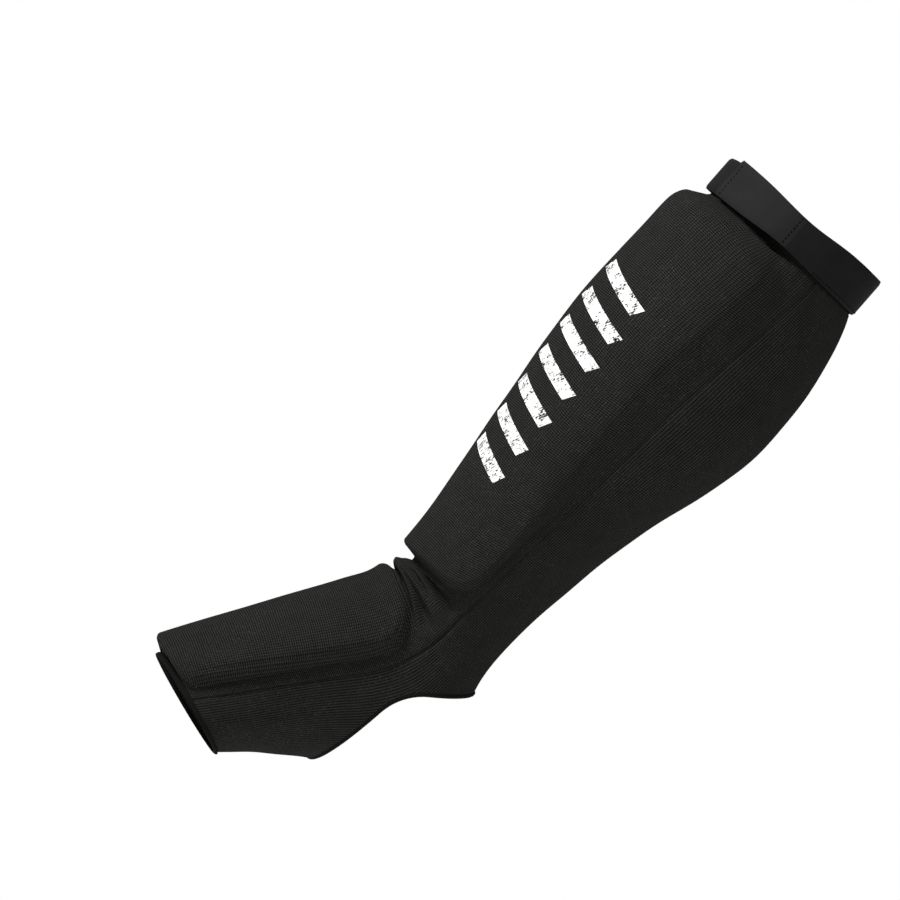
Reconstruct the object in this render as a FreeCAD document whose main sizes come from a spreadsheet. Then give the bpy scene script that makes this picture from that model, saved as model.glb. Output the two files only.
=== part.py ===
"""Slip-on shin and instep guard: an elastic knit sleeve with foam pads and a hook-and-loop cuff.

Frame, in millimetres: the origin is the centre of the cuff at mid height, +Z runs up the leg out
of the cuff, +X points to the front of the shin and the toes, +Y is the wearer's left.

The leg that fills the guard is described by oval sections. Each layer of the guard is the room
between two such leg forms, one larger than the other, cut out along the seams.
"""
import math
import os

import FreeCAD
import Part
import Sketcher

REACH = 260.0
OVAL_POINTS = 12
CORNER_SLACK = 0.01
PRINT_BARS = 7
PRINT_SLANT = -30.0
SEAM_LEAN = 0.45
HEM_FORWARD = 0.8
HEM_UP = 0.7
# How far the instep foam's outline moves, in cover walls, to clear its back and toe edges.
INSTEP_FROM_BACK = (1.33, -0.16)
INSTEP_FROM_TOE = (0.31, 1.17)

doc = FreeCAD.newDocument("ShinGuard")
sheet = doc.addObject("Spreadsheet::Sheet", "Sizes")

# Oval sections of the leg: front point x and z, back point x and z, and width side to side.
SECTIONS = {
    "rim": (52.0, -14.0, -52.0, -14.0, 104.0),
    "brow": (55.9, -27.0, -57.1, -27.0, 107.0),
    "crown": (57.2, -50.0, -63.2, -50.0, 111.0),
    "calf": (58.8, -88.0, -66.6, -88.0, 113.0),
    "belly": (57.7, -120.0, -65.0, -120.0, 111.0),
    "taper": (55.2, -150.0, -57.5, -150.0, 104.0),
    "shank": (51.7, -180.0, -47.7, -180.0, 94.0),
    "waist": (47.7, -212.0, -40.3, -212.0, 85.0),
    "neck": (44.1, -242.0, -35.1, -242.0, 77.0),
    "gaiter": (41.6, -270.0, -31.2, -270.0, 71.0),
    "bend": (41.2, -290.0, -30.0, -294.0, 68.5),
    "ankle": (42.5, -302.0, -32.0, -317.0, 69.5),
    "malleolus": (45.0, -311.0, -38.0, -341.0, 71.0),
    "heeltop": (48.5, -317.5, -38.0, -366.0, 71.0),
    "heel": (53.5, -325.0, -22.0, -388.0, 71.0),
    "arch": (60.5, -335.0, 0.0, -404.0, 72.5),
    "waistfoot": (70.0, -350.0, 17.0, -413.5, 75.0),
    "midfoot": (82.0, -369.0, 31.0, -422.5, 79.5),
    "forefoot": (95.0, -389.5, 43.0, -431.0, 84.5),
    "instepend": (107.0, -408.5, 52.6, -439.0, 89.5),
    "ball": (118.5, -426.5, 61.0, -446.5, 94.0),
}

# How far each layer's outer face stands off the leg.
LAYERS = {
    "skin_layer": 0.0,
    "lining_layer": 1.0,
    "knit_layer": 1.5,
    "hem_layer": 2.2,
    "cover_layer": 2.5,
    "seam_layer": 3.0,
    "foam_layer": 12.5,
    "outer_layer": 14.0,
    "print_layer": 14.3,
}

# Side views of the cutting outlines, each corner as x and z.
OUTLINES = {
    "seam": [(-17.5, -8.0), (-2.0, -109.0), (10.0, -332.0), (114.0, -449.2),
             (260.0, -449.2), (260.0, -8.0)],
    "shinside": [(-120.0, -14.2), (-120.0, -340.6), (20.0, -288.5), (140.0, -288.5),
                 (140.0, -14.2)],
    "footside": [(90.0, -289.5), (47.0, -296.0), (22.0, -316.5), (10.0, -345.0),
                 (-30.0, -395.0), (-30.0, -520.0), (220.0, -520.0), (220.0, -289.5)],
    "anklezone": [(-120.0, -420.0), (120.0, -420.0), (120.0, -280.0), (-120.0, -280.0)],
    "heelgap": [(-90.0, -287.0), (5.2, -349.2), (16.0, -445.0), (-90.0, -445.0)],
    "shinpad": [(-9.8, -14.8), (1.8, -109.0), (11.3, -286.7), (120.0, -286.7),
                (120.0, -14.8)],
    "instep": [(100.0, -259.0), (14.0, -321.5), (104.8, -427.7), (161.2, -407.9)],
    "toezone": [(19.0, -458.2), (169.0, -405.9), (200.0, -480.0), (19.0, -520.0)],
}

SIZES = {
    "leg_radius": 52.0,
    "hem_thickness": 1.3,
    "hem_top": 3.0,
    "hem_dip": 1.5,
    "band_inside": 53.6,
    "band_thickness": 1.9,
    "band_height": 25.4,
    "patch_height": 22.0,
    "loop_thickness": 1.1,
    "hook_thickness": 1.1,
    "patch_gap": 0.3,
    "strap_start": 97.0,
    "tab_hinge": 77.0,
    "tab_end": 18.0,
    "underlap_end": 60.0,
    "sewn_end": 15.0,
    "patch_margin": 3.0,
    "stitch_height": 0.4,
    "stitch_width": 0.9,
    "stitch_inset": 1.6,
    "tab_stitch_angle": 4.0,
    "hinge_gap": 0.4,
    "seam_half": 0.9,
    "cover_wall": 1.5,
    "hem_width": 2.4,
    "pad_corner": 30.0,
    "instep_corner": 25.0,
    "toe_corner": 8.0,
    "heel_round": 35.0,
    "seam_upper_round": 400.0,
    "seam_ankle_round": 90.0,
    "print_middle": 58.0,
    "print_lean": 1.0,
    "print_half": 11.0,
    "print_front": 10.0,
    "print_stroke": 8.5,
    "print_pitch": 20.8,
    "print_first": 217.0,
}

LETTERS = "abcdefgh"


def fill_sheet():
    """Write every driving dimension into the sheet and give it its alias."""
    cells = dict(SIZES)
    cells.update(LAYERS)
    for name, (front_x, front_z, back_x, back_z, width) in SECTIONS.items():
        cells[name + "_front_x"] = front_x
        cells[name + "_front_z"] = front_z
        cells[name + "_back_x"] = back_x
        cells[name + "_back_z"] = back_z
        cells[name + "_width"] = width
    for name, points in OUTLINES.items():
        for letter, (point_x, point_z) in zip(LETTERS, points):
            cells[name + "_" + letter + "_x"] = point_x
            cells[name + "_" + letter + "_z"] = point_z
    for row, (alias, value) in enumerate(cells.items(), start=1):
        sheet.set("A%d" % row, alias)
        sheet.set("B%d" % row, str(value))
        sheet.setAlias("B%d" % row, alias)


def size(alias):
    """Return the sheet's value for an alias."""
    return float(sheet.get(alias))


def cell(alias):
    """Return the expression that reads an alias."""
    return "Sizes." + alias


def section_oval(name, layer):
    """Add the closed curve round one leg section, grown outwards to the given layer.

    Every curve starts at the front of the leg, whichever side of the oval is the longer, so the
    loft through them doesn't twist. Part::Ellipse would start on its long side instead.
    """
    front_point = FreeCAD.Vector(size(name + "_front_x"), 0, size(name + "_front_z"))
    back_point = FreeCAD.Vector(size(name + "_back_x"), 0, size(name + "_back_z"))
    centre = (front_point + back_point) / 2
    forward = front_point - centre
    forward = forward * (1 + size(layer) / forward.Length)
    sideways = FreeCAD.Vector(0, size(name + "_width") / 2 + size(layer), 0)
    turns = [2 * math.pi * step / OVAL_POINTS for step in range(OVAL_POINTS)]
    curve = Part.BSplineCurve()
    curve.interpolate(
        [centre + forward * math.cos(turn) + sideways * math.sin(turn) for turn in turns],
        PeriodicFlag=True,
    )
    oval = doc.addObject("Part::Feature", "Oval_%s_%s" % (name, layer))
    oval.Shape = Part.Wire([curve.toShape()])
    return oval


def leg_form(layer):
    """Add the solid leg whose surface is the outer face of a layer."""
    form = doc.addObject("Part::Loft", "Form_" + layer)
    form.Sections = [section_oval(name, layer) for name in SECTIONS]
    form.Solid = True
    form.Ruled = False
    return form


def checked(thing):
    """Recompute and stop if an object failed or is empty."""
    doc.recompute()
    bad = [flag for flag in thing.State if flag in ("Invalid", "Error")]
    if bad or thing.Shape.isNull() or not thing.Shape.isValid():
        raise RuntimeError("%s did not build: %s" % (thing.Name, thing.State))
    return thing


def near_corner(edge, point_x, point_z):
    """Say whether an edge runs across the leg through a corner of an outline."""
    ends = [vertex.Point for vertex in edge.Vertexes]
    return all(math.hypot(end.x - point_x, end.z - point_z) < CORNER_SLACK for end in ends)


def prism(name, outline, shift=("0", "0"), rounds=None):
    """Add a block across the leg from an outline, moved by a shift, with rounded corners.

    rounds maps a corner's letter to the alias of its radius.
    """
    sketch = doc.addObject("Sketcher::SketchObject", "Sketch_" + name)
    sketch.Placement = FreeCAD.Placement(
        FreeCAD.Vector(0, 0, 0), FreeCAD.Rotation(FreeCAD.Vector(1, 0, 0), 90)
    )
    count = len(OUTLINES[outline])
    corners = [FreeCAD.Vector(x, z, 0) for x, z in OUTLINES[outline]]
    for index in range(count):
        sketch.addGeometry(Part.LineSegment(corners[index], corners[(index + 1) % count]), False)
    for index in range(count):
        sketch.addConstraint(Sketcher.Constraint("Coincident", index, 2, (index + 1) % count, 1))
    for index in range(count):
        stem = outline + "_" + LETTERS[index]
        for kind, axis, moved in (("DistanceX", "_x", shift[0]), ("DistanceY", "_z", shift[1])):
            number = sketch.addConstraint(
                Sketcher.Constraint(kind, -1, 1, index, 1, size(stem + axis))
            )
            sketch.setExpression("Constraints[%d]" % number, cell(stem + axis) + " + " + moved)
    block = doc.addObject("Part::Extrusion", "Prism_" + name)
    block.Base = sketch
    block.DirMode = "Custom"
    block.Dir = FreeCAD.Vector(0, 1, 0)
    block.LengthFwd = REACH
    block.Symmetric = True
    block.Solid = True
    checked(block)
    if not rounds:
        return block
    rounded = doc.addObject("Part::Fillet", "Rounded_" + name)
    rounded.Base = block
    edges = []
    for letter, alias in rounds.items():
        corner = sketch.Geometry[LETTERS.index(letter)].StartPoint
        for number, edge in enumerate(block.Shape.Edges, start=1):
            if near_corner(edge, corner.x, corner.y):
                edges.append((number, size(alias), size(alias)))
    rounded.Edges = edges
    return checked(rounded)


def cut(name, base, tool):
    """Add base minus tool."""
    result = doc.addObject("Part::Cut", name)
    result.Refine = False
    result.Base = base
    result.Tool = tool
    return checked(result)


def common(name, *shapes):
    """Add what all the shapes share."""
    result = doc.addObject("Part::MultiCommon", name)
    result.Refine = False
    result.Shapes = list(shapes)
    return checked(result)


def fuse(name, *shapes):
    """Add the union of the shapes."""
    result = doc.addObject("Part::MultiFuse", name)
    result.Refine = False
    result.Shapes = list(shapes)
    return checked(result)


NODES = []


def node(label, shape):
    """Give a finished sub-part its name."""
    shape.Label = label
    NODES.append(shape)
    return shape


def ring(name, inside, thickness, low, height, start, end):
    """Add a band round the cuff's axis between two angles, from expressions."""
    tube = []
    for part_name, radius in (("Out", inside + " + " + thickness), ("In", inside)):
        wall = doc.addObject("Part::Cylinder", name + part_name)
        wall.setExpression("Radius", radius)
        wall.setExpression("Height", height)
        wall.setExpression("Angle", "(" + end + ") - (" + start + ")")
        wall.setExpression(".Placement.Base.z", low)
        wall.setExpression(".Placement.Rotation.Angle", start)
        tube.append(wall)
    return cut(name, tube[0], tube[1])


def side_box(name, side):
    """Add a box that holds the leg's left (side 1) or right (side -1) half."""
    box = doc.addObject("Part::Box", name)
    box.Length = 2 * REACH
    box.Width = REACH
    box.Height = 3 * REACH
    box.Placement.Base = FreeCAD.Vector(-REACH, min(side, 0) * REACH, -2.5 * REACH)
    return checked(box)


fill_sheet()
doc.recompute()
forms = {layer: leg_form(layer) for layer in LAYERS}
for form in forms.values():
    checked(form)

SEAM_ROUNDS = {"b": "seam_upper_round", "c": "seam_ankle_round"}
HALF = cell("seam_half")
WALL = cell("cover_wall")
HEM = cell("hem_width")
RISE = "%s * %s" % (HALF, SEAM_LEAN)
front = prism("Front", "seam", (HALF, RISE), SEAM_ROUNDS)
front_and_seam = prism("FrontAndSeam", "seam", ("-" + HALF, "-" + RISE), SEAM_ROUNDS)
seam_strip = cut("SeamStrip", front_and_seam, front)
shin_side = prism("ShinSide", "shinside")
foot_side = prism("FootSide", "footside")
heel_gap = prism("HeelGap", "heelgap", rounds={"b": "heel_round"})
HEM_SHIFT = ("%s * %s" % (HEM, HEM_FORWARD), "%s * %s" % (HEM, HEM_UP))
heel_gap_hem = prism("HeelGapHem", "heelgap", HEM_SHIFT, {"b": "heel_round"})
heel_strip = cut("HeelStrip", heel_gap_hem, heel_gap)
toe_zone = prism("ToeZone", "toezone")
left_half = side_box("LeftHalf", 1)
right_half = side_box("RightHalf", -1)
foot_main = cut("FootMain", foot_side, toe_zone)
both_halves = fuse("BothHalves", left_half, right_half)
ankle_zone = prism("AnkleZone", "anklezone")
ankle_side = cut("AnkleSide", cut("BelowShin", ankle_zone, shin_side), foot_side)

shin_cover_block = prism("ShinCover", "shinpad", rounds={"c": "pad_corner"})
instep_cover_block = prism(
    "InstepCover", "instep", rounds={"b": "instep_corner", "c": "toe_corner"}
)


def foam_block(name, outline, shifts, rounds):
    """Add the room inside a pad's cover: the outline moved inwards from every side."""
    moved = [
        prism(name + letter, outline, shift, rounds) for letter, shift in zip("PQ", shifts)
    ]
    return common(name, *moved)


shin_foam_block = foam_block(
    "ShinFoamBlock", "shinpad", [(WALL, WALL), (WALL, "-" + WALL)], {"c": "pad_corner"}
)
instep_foam_block = foam_block(
    "InstepFoamBlock",
    "instep",
    [
        tuple("%s * %s" % (WALL, share) for share in shares)
        for shares in (INSTEP_FROM_BACK, INSTEP_FROM_TOE)
    ],
    {"b": "instep_corner", "c": "toe_corner"},
)

def between(name, outer, inner, region):
    """Add what lies between two layers inside a region."""
    return cut(name, common(name + "Filled", forms[outer], region), forms[inner])


# Regions: forward of the seam, on it, and behind it down to the hem of the heel opening.
shin_front = common("ShinFront", front, shin_side)
foot_front = common("FootFront", front, foot_main)
ankle_front = common("AnkleFront", front, ankle_side)
behind = cut("Behind", cut("BehindSeam", both_halves, front_and_seam), heel_gap_hem)
hem_strip = cut("HemStripBehind", heel_strip, front_and_seam)

# Shin: calf panel behind the seam; lining, foam and cover in front of it.
node("calf_panel", between("CalfPanel", "knit_layer", "skin_layer", common("CalfSide", behind, shin_side)))
node("shin_lining", between("ShinLining", "lining_layer", "skin_layer", shin_front))
shin_foam = node(
    "shin_foam", between("ShinFoam", "foam_layer", "lining_layer", shin_foam_block)
)
shin_cover = fuse(
    "ShinCoverWhole",
    common("ShinCoverRaised", forms["outer_layer"], shin_cover_block),
    common("ShinCoverFlat", forms["cover_layer"], shin_front),
)
shin_hollow = common("ShinHollow", forms["foam_layer"], shin_foam_block)
node(
    "shin_panel",
    cut("ShinPanel", cut("ShinCoverOpen", shin_cover, forms["lining_layer"]), shin_hollow),
)

# Foot: under-foot band behind the seam; lining, foam and cover in front of it; hems.
node("foot_band", between("FootBand", "knit_layer", "skin_layer", common("SoleSide", behind, foot_main)))
node("instep_lining", between("InstepLining", "lining_layer", "skin_layer", foot_front))
node("instep_foam", between("InstepFoam", "foam_layer", "lining_layer", instep_foam_block))
instep_cover = fuse(
    "InstepCoverWhole",
    common("InstepCoverRaised", forms["outer_layer"], instep_cover_block),
    common("InstepCoverFlat", forms["cover_layer"], foot_front),
)
instep_hollow = common("InstepHollow", forms["foam_layer"], instep_foam_block)
node(
    "instep_panel",
    cut("InstepPanel", cut("InstepCoverOpen", instep_cover, forms["lining_layer"]), instep_hollow),
)
node("toe_hem", between("ToeHem", "seam_layer", "skin_layer", toe_zone))
node(
    "heel_hem_lower",
    between("HeelHemLower", "hem_layer", "skin_layer", common("HemFoot", hem_strip, foot_side)),
)

# Ankle: the soft middle between the two pads.
node("ankle_gusset", between("AnkleGusset", "cover_layer", "lining_layer", ankle_front))
node(
    "ankle_back",
    between("AnkleBack", "knit_layer", "skin_layer", common("AnkleRear", behind, ankle_side)),
)
node(
    "heel_hem_upper",
    between("HeelHemUpper", "hem_layer", "skin_layer", common("HemAnkle", hem_strip, ankle_side)),
)

# Side seams, one each side, in the three stretches that move apart.
for side_name, half in (("left", left_half), ("right", right_half)):
    for stretch, region in (("shin", shin_side), ("ankle", ankle_side), ("foot", foot_main)):
        stem = stretch.capitalize() + side_name.capitalize()
        strip = common("Strip" + stem, seam_strip, half, region)
        node(
            "%s_seam_%s" % (stretch, side_name),
            between("Seam" + stem, "seam_layer", "skin_layer", strip),
        )

# Cuff: the knit hem inside the elastic band, sewn together round the back and the front.
BAND_IN = cell("band_inside")
BAND_WALL = cell("band_thickness")
BAND_HIGH = cell("band_height")
BAND_LOW = "-" + BAND_HIGH + " / 2"
BAND_OUT = BAND_IN + " + " + BAND_WALL
PATCH_HIGH = cell("patch_height")
PATCH_LOW = "-" + PATCH_HIGH + " / 2"
STRAP = cell("strap_start")
TAB = cell("tab_hinge")
TAB_END = cell("tab_end")
UNDERLAP = cell("underlap_end") + " + 360"
SEWN = cell("sewn_end") + " + 360"
MARGIN = cell("patch_margin")
GAP = cell("patch_gap")

hem_low = cell("rim_front_z")
sewn_hem = ring(
    "SewnHem", cell("leg_radius"), cell("hem_thickness"), hem_low,
    cell("hem_top") + " - " + hem_low, STRAP, SEWN,
)
free_hem = ring(
    "FreeHem", cell("leg_radius"), cell("hem_thickness"), hem_low,
    cell("hem_dip"), "0", "360",
)
node("top_hem", fuse("TopHem", sewn_hem, free_hem))
node("cuff_band", ring("CuffBand", BAND_IN, BAND_WALL, BAND_LOW, BAND_HIGH, STRAP, UNDERLAP))
LOOP_START = TAB_END + " + 360 + " + MARGIN
node(
    "loop_patch",
    ring(
        "LoopPatch", BAND_OUT, cell("loop_thickness"), PATCH_LOW, PATCH_HIGH,
        LOOP_START, UNDERLAP + " - 1",
    ),
)
STITCH = cell("stitch_height")
STITCH_WIDE = cell("stitch_width")
node(
    "cuff_stitching",
    ring(
        "CuffStitching", BAND_OUT, STITCH, BAND_LOW + " + " + cell("stitch_inset"), STITCH_WIDE,
        STRAP + " + " + MARGIN, SEWN + " - " + MARGIN,
    ),
)

# Strap: a free elastic link, then the tab whose hook patch grips the loop patch under it.
node(
    "strap_elastic",
    ring(
        "StrapElastic", BAND_IN, BAND_WALL, BAND_LOW, BAND_HIGH,
        TAB + " + " + cell("hinge_gap"), STRAP + " - " + cell("hinge_gap"),
    ),
)
HOOK_IN = BAND_OUT + " + " + cell("loop_thickness") + " + " + GAP
TAB_IN = HOOK_IN + " + " + cell("hook_thickness")
node(
    "hook_patch",
    ring(
        "HookPatch", HOOK_IN, cell("hook_thickness"), PATCH_LOW, PATCH_HIGH,
        TAB_END + " + " + MARGIN, UNDERLAP + " - 361",
    ),
)
node("strap_tab", ring("StrapTab", TAB_IN, BAND_WALL, BAND_LOW, BAND_HIGH, TAB_END, TAB))
TAB_OUT = TAB_IN + " + " + BAND_WALL
for label, start in (
    ("tab_end_stitching", TAB_END + " + " + cell("tab_stitch_angle")),
    ("tab_root_stitching", TAB + " - " + cell("tab_stitch_angle")),
):
    node(
        label,
        ring(
            label.title().replace("_", ""), TAB_OUT, STITCH, PATCH_LOW, PATCH_HIGH,
            start, start + " + " + STITCH_WIDE,
        ),
    )


def print_bar(number):
    """Add one slanted bar of the print on the outer side of the shin."""
    bar = doc.addObject("Part::Box", "PrintBar%d" % number)
    bar.setExpression("Length", cell("print_half") + " * 2")
    bar.setExpression("Height", cell("print_stroke"))
    bar.Width = REACH
    middle = "%s + %s * %d" % (cell("print_middle"), cell("print_lean"), number)
    bar.setExpression(".Placement.Base.x", middle + " - " + cell("print_half"))
    bar.setExpression(".Placement.Base.y", cell("print_front"))
    level = "-%s + %s * %d" % (cell("print_first"), cell("print_pitch"), number)
    bar.setExpression(".Placement.Base.z", level)
    bar.Placement.Rotation = FreeCAD.Rotation(FreeCAD.Vector(0, 1, 0), PRINT_SLANT)
    return checked(bar)


# Print: a column of slanted bars on the raised cover.
bars = fuse("PrintBars", *[print_bar(number) for number in range(PRINT_BARS)])
node("shin_print", between("ShinPrint", "print_layer", "outer_layer", bars))


def write_parts():
    """Check every object, then write each sub-part to its own file."""
    doc.recompute()
    for thing in doc.Objects:
        if "Invalid" in thing.State or "Error" in thing.State:
            raise RuntimeError(thing.Name + " failed")
    os.makedirs("parts", exist_ok=True)
    for part in NODES:
        shape = part.Shape
        if shape.isNull() or not shape.isValid() or shape.Volume <= 0:
            raise RuntimeError(part.Label + " has no valid solid")
        shape.exportStep("parts/%s.step" % part.Label)
        print("%-20s %9.1f mm3, %d solids" % (part.Label, shape.Volume, len(shape.Solids)))


write_parts()
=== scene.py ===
"""The shin and instep guard, dressed: knit sleeve, foam pads, hems, seams and a strap cuff.

Everything is in metres in the guard's own frame: the cuff's centre is the origin, +Z runs up the
leg, +X points to the front of the shin and the toes, +Y is the wearer's left.
"""
import logging
import math
from dataclasses import astuple, dataclass, field
from enum import Enum
from typing import Callable, Dict, List, Optional, Sequence, Tuple, Union

import bmesh
import bpy
import numpy as np
from mathutils import Matrix, Vector


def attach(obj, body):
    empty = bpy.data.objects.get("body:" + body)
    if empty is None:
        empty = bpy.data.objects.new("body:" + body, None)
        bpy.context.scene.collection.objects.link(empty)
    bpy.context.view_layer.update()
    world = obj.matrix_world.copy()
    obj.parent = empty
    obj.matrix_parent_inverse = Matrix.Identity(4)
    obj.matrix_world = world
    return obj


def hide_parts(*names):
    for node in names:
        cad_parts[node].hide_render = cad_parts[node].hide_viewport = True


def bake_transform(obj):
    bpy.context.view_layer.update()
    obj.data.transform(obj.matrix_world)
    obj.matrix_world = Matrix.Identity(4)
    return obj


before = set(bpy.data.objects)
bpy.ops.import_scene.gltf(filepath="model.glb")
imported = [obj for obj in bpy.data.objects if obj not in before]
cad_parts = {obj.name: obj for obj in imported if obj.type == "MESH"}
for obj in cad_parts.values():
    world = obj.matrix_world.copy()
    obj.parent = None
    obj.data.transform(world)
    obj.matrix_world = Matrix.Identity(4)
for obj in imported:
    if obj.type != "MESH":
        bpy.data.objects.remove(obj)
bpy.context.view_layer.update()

MM = 0.001
LOG = logging.getLogger("guard")
Array = np.ndarray
Number = Union["Wire", float]


class Body(Enum):
    """The stiff bodies that pieces move with."""

    SHIN = "shin"
    FOOT = "foot"
    STRAP = "strap"
    TAB = "tab"


class Slot(Enum):
    """The material slots of the record."""

    KNIT = "knit"
    LINING = "lining"
    FOAM = "foam"
    HEM = "hem"
    ELASTIC = "elastic"
    LOOP = "loop"
    HOOK = "hook"
    THREAD = "thread"
    SEAM = "seam"
    PRINT = "print"


# ---------------------------------------------------------------- shader nodes


class Wire:
    """A shader socket whose arithmetic adds Math nodes."""

    def __init__(self, tree: bpy.types.NodeTree, socket: bpy.types.NodeSocket) -> None:
        """Wrap one output socket of a tree."""
        self.tree = tree
        self.socket = socket

    def math(self, operation: str, *others: Number, flip: bool = False) -> "Wire":
        """Add a Math node.

        Args:
            operation: the Math node's operation.
            others: the other operands, sockets or numbers.
            flip: puts this socket second instead of first.

        Returns:
            The node's result.
        """
        node = self.tree.nodes.new("ShaderNodeMath")
        node.operation = operation
        operands = [self, *others]
        if flip:
            operands.reverse()
        for slot, operand in zip(node.inputs, operands):
            if isinstance(operand, Wire):
                self.tree.links.new(operand.socket, slot)
            else:
                slot.default_value = operand
        return Wire(self.tree, node.outputs[0])

    def __add__(self, other: Number) -> "Wire":
        """Sum."""
        return self.math("ADD", other)

    def __sub__(self, other: Number) -> "Wire":
        """Difference."""
        return self.math("SUBTRACT", other)

    def __rsub__(self, other: Number) -> "Wire":
        """Difference from a number."""
        return self.math("SUBTRACT", other, flip=True)

    def __mul__(self, other: Number) -> "Wire":
        """Product."""
        return self.math("MULTIPLY", other)

    __radd__ = __add__
    __rmul__ = __mul__

    def __pow__(self, other: Number) -> "Wire":
        """Power."""
        return self.math("POWER", other)

    def wave(self, spacing: float) -> "Wire":
        """A wave from 0 to 1 that repeats at a spacing."""
        return (self * (2 * math.pi / spacing)).math("SINE") * 0.5 + 0.5

    def above(self, low: float, high: float) -> "Wire":
        """A ramp from 0 at low to 1 at high, clamped."""
        ramp = (self - low) * (1 / (high - low))
        return ramp.math("MAXIMUM", 0.0).math("MINIMUM", 1.0)


class Paint:
    """One material and the nodes that feed its shader."""

    def __init__(self, name: str) -> None:
        """Start a material with a bare Principled shader."""
        self.material = bpy.data.materials.new(name)
        self.material.use_nodes = True
        self.tree = self.material.node_tree
        self.tree.nodes.clear()
        self.shader = self.tree.nodes.new("ShaderNodeBsdfPrincipled")
        output = self.tree.nodes.new("ShaderNodeOutputMaterial")
        self.tree.links.new(self.shader.outputs[0], output.inputs["Surface"])

    def node(self, kind: str, settings: Dict, inputs: Dict, output: Union[str, int]) -> Wire:
        """Add any other node.

        Args:
            kind: the node's type.
            settings: the node's own settings, set before its sockets.
            inputs: each socket's link or value, by name or number.
            output: the name or number of the output that is used.

        Returns:
            That output.
        """
        made = self.tree.nodes.new(kind)
        for name, value in settings.items():
            setattr(made, name, value)
        for name, value in inputs.items():
            if isinstance(value, Wire):
                self.tree.links.new(value.socket, made.inputs[name])
            else:
                made.inputs[name].default_value = value
        return Wire(self.tree, made.outputs[output])

    def place(self) -> Wire:
        """The place on the object."""
        return self.node("ShaderNodeTexCoord", {}, {}, "Object")

    def thread_lines(self) -> Tuple[Wire, Wire]:
        """The distances in metres across and along the knit."""
        flat = self.node("ShaderNodeUVMap", {"uv_map": "Knit"}, {}, "UV")
        across = self.node("ShaderNodeSeparateXYZ", {}, {0: flat}, 0)
        return across, Wire(self.tree, across.socket.node.outputs[1])

    def noise(self, size: float, detail: float, place: Optional[Wire] = None) -> Wire:
        """Noise from 0 to 1 with patches of a size in metres."""
        inputs = {"Vector": place or self.place(), "Scale": 1 / size, "Detail": detail}
        return self.node("ShaderNodeTexNoise", {}, inputs, "Fac")

    def blend(self, share: Wire, first: Sequence[float], second: Sequence[float]) -> Wire:
        """Mix two colours by a share."""
        inputs = {0: share, 6: (*first, 1.0), 7: (*second, 1.0)}
        return self.node("ShaderNodeMix", {"data_type": "RGBA"}, inputs, 2)

    def link(self, socket: str, wire: Wire) -> None:
        """Feed one of the shader's sockets."""
        self.tree.links.new(wire.socket, self.shader.inputs[socket])

    def bump(self, height: Wire, depth: float) -> None:
        """Raise the surface by a height from 0 to 1 times a depth in metres."""
        inputs = {"Height": height, "Strength": 1.0, "Distance": depth}
        self.link("Normal", self.node("ShaderNodeBump", {}, inputs, "Normal"))

    def settle(self, **values: float) -> None:
        """Set the shader's sockets that are the same all over."""
        for name, value in values.items():
            self.shader.inputs[name.replace("_", " ")].default_value = value


@dataclass(frozen=True)
class KnitFinish:
    """Fine elastic knit: ribs along the leg crossed by rows of loops."""

    name: str
    dark: Tuple[float, float, float] = (0.0032, 0.0034, 0.0030)
    light: Tuple[float, float, float] = (0.0450, 0.0462, 0.0425)
    rib: float = 1.6 * MM
    course: float = 1.3 * MM
    rib_share: float = 0.5
    course_share: float = 0.5
    depth: float = 0.40 * MM
    roughness: float = 0.88
    sheen: float = 0.012

    def paint(self) -> bpy.types.Material:
        """Make the material."""
        paint = Paint(self.name)
        across, along = paint.thread_lines()
        worn = paint.noise(9 * MM, 3.0)
        patch = paint.noise(38 * MM, 2.0)
        wander = (paint.noise(14 * MM, 2.0) - 0.5) * (0.9 * self.course)
        ribs = (across + wander * 0.25).wave(self.rib) ** 0.45
        loops = (along + wander + ribs * (self.course * 0.22)).wave(self.course) ** 0.5
        fuzz = paint.noise(0.5 * MM, 3.0)
        glint = paint.noise(0.9 * MM, 1.0).above(0.56, 0.74) * (patch.above(0.35, 0.65) * 0.5 + 0.3)
        # The colour follows the relief: grooves between ribs and loops are painted darker as
        # painted shade, and the glint specks are painted highlights; worn adds random tone.
        relief_and_shade = ribs * self.rib_share + loops * self.course_share
        share = relief_and_shade * 0.85 + worn * 0.16 + glint * 0.55 - 0.42
        paint.link("Base Color", paint.blend(share.above(0.0, 1.0), self.dark, self.light))
        paint.link("Roughness", worn * 0.12 + (self.roughness - 0.06))
        paint.bump(relief_and_shade + fuzz * 0.25, self.depth)
        paint.settle(Sheen_Weight=self.sheen, Sheen_Roughness=0.45, Specular_IOR_Level=0.0)
        return paint.material


@dataclass(frozen=True)
class ElasticFinish:
    """Woven elastic: tight ribs across the strap with smooth selvedges."""

    name: str = "woven_elastic"
    dark: Tuple[float, float, float] = (0.006, 0.006, 0.0060)
    light: Tuple[float, float, float] = (0.018, 0.018, 0.0178)
    pitch: float = 0.9 * MM
    row: float = 1.25 * MM
    depth: float = 0.13 * MM

    def paint(self) -> bpy.types.Material:
        """Make the material."""
        paint = Paint(self.name)
        across, along = paint.thread_lines()
        rows = along.wave(self.row)
        weave = (across + rows * (self.pitch * 0.3)).wave(self.pitch)
        fuzz = paint.noise(0.7 * MM, 2.0)
        worn = paint.noise(12 * MM, 3.0)
        height = weave * 0.45 + rows * 0.35 + fuzz * 0.2
        # The weave's hollows are painted darker than its raised threads as painted shade; worn adds
        # random tone.
        share = (height * 0.45 + worn * 0.55 - 0.05).above(0.0, 1.0)
        paint.link("Base Color", paint.blend(share, self.dark, self.light))
        paint.link("Roughness", worn * 0.14 + 0.66)
        paint.bump(height, self.depth)
        paint.settle(Sheen_Weight=0.01, Sheen_Roughness=0.4, Specular_IOR_Level=0.05)
        return paint.material


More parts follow.
